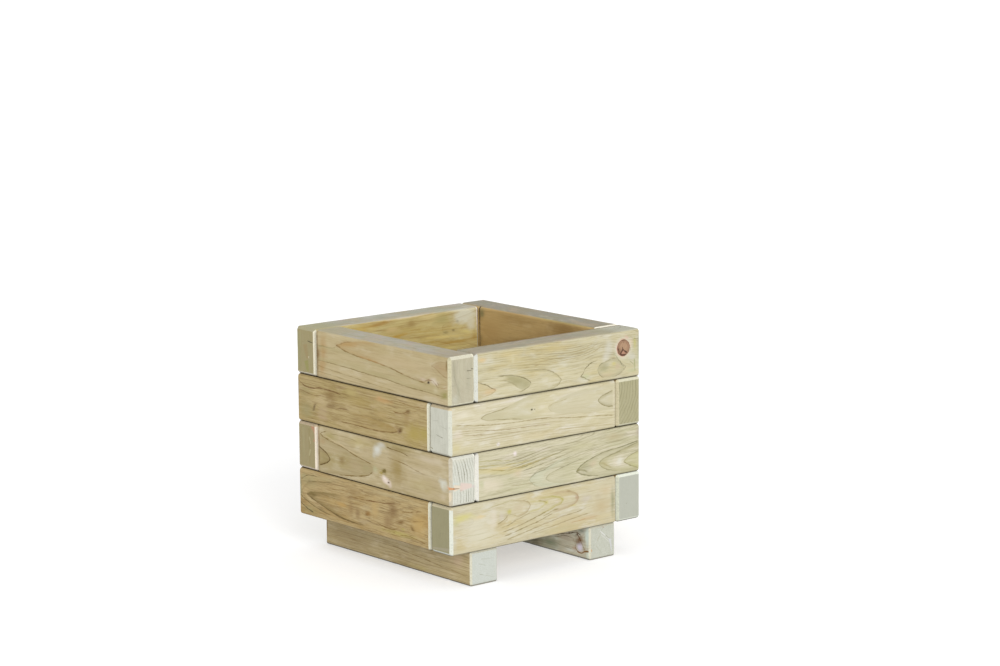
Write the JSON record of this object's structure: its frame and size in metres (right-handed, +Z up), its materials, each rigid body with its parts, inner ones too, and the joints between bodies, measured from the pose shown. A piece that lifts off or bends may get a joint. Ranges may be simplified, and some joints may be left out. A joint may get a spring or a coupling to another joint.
{
  "type": "timber planter",
  "caption": "Square timber planter: pinwheel courses of round-edged boards with interlocking corners, on runners, with a slatted floor.",
  "frame": {"origin": "on the ground under the middle of the square", "axes": "+Z up; the front wall faces -Y and the left wall faces -X; the runners lie along Y"},
  "size_m": [0.345, 0.345, 0.32],
  "materials": {
    "wall_timber": "planed, pressure-treated softwood with a faint green cast, matt",
    "runner_timber": "planed, pressure-treated softwood, matt",
    "floor_timber": "planed, pressure-treated softwood slats, matt",
    "timber_screw_steel": "yellow-zinc plated steel",
    "floor_screw_steel": "yellow-zinc plated steel"
  },
  "bodies": {
    "root": {"course_1_front_board": "wall_timber", "course_1_right_board": "wall_timber", "course_1_back_board": "wall_timber", "course_1_left_board": "wall_timber", "course_2_front_board": "wall_timber", "course_2_right_board": "wall_timber", "course_2_back_board": "wall_timber", "course_2_left_board": "wall_timber", "course_3_front_board": "wall_timber", "course_3_right_board": "wall_timber", "course_3_back_board": "wall_timber", "course_3_left_board": "wall_timber", "course_4_front_board": "wall_timber", "course_4_right_board": "wall_timber", "course_4_back_board": "wall_timber", "course_4_left_board": "wall_timber", "left_runner": "runner_timber", "right_runner": "runner_timber", "floor_slat_1": "floor_timber", "floor_slat_2": "floor_timber", "floor_slat_3": "floor_timber", "floor_slat_4": "floor_timber", "floor_slat_5": "floor_timber", "course_1_screws": "timber_screw_steel", "course_2_screws": "timber_screw_steel", "course_3_screws": "timber_screw_steel", "runner_screws": "timber_screw_steel", "floor_screws": "floor_screw_steel"}
  },
  "joints": []
}
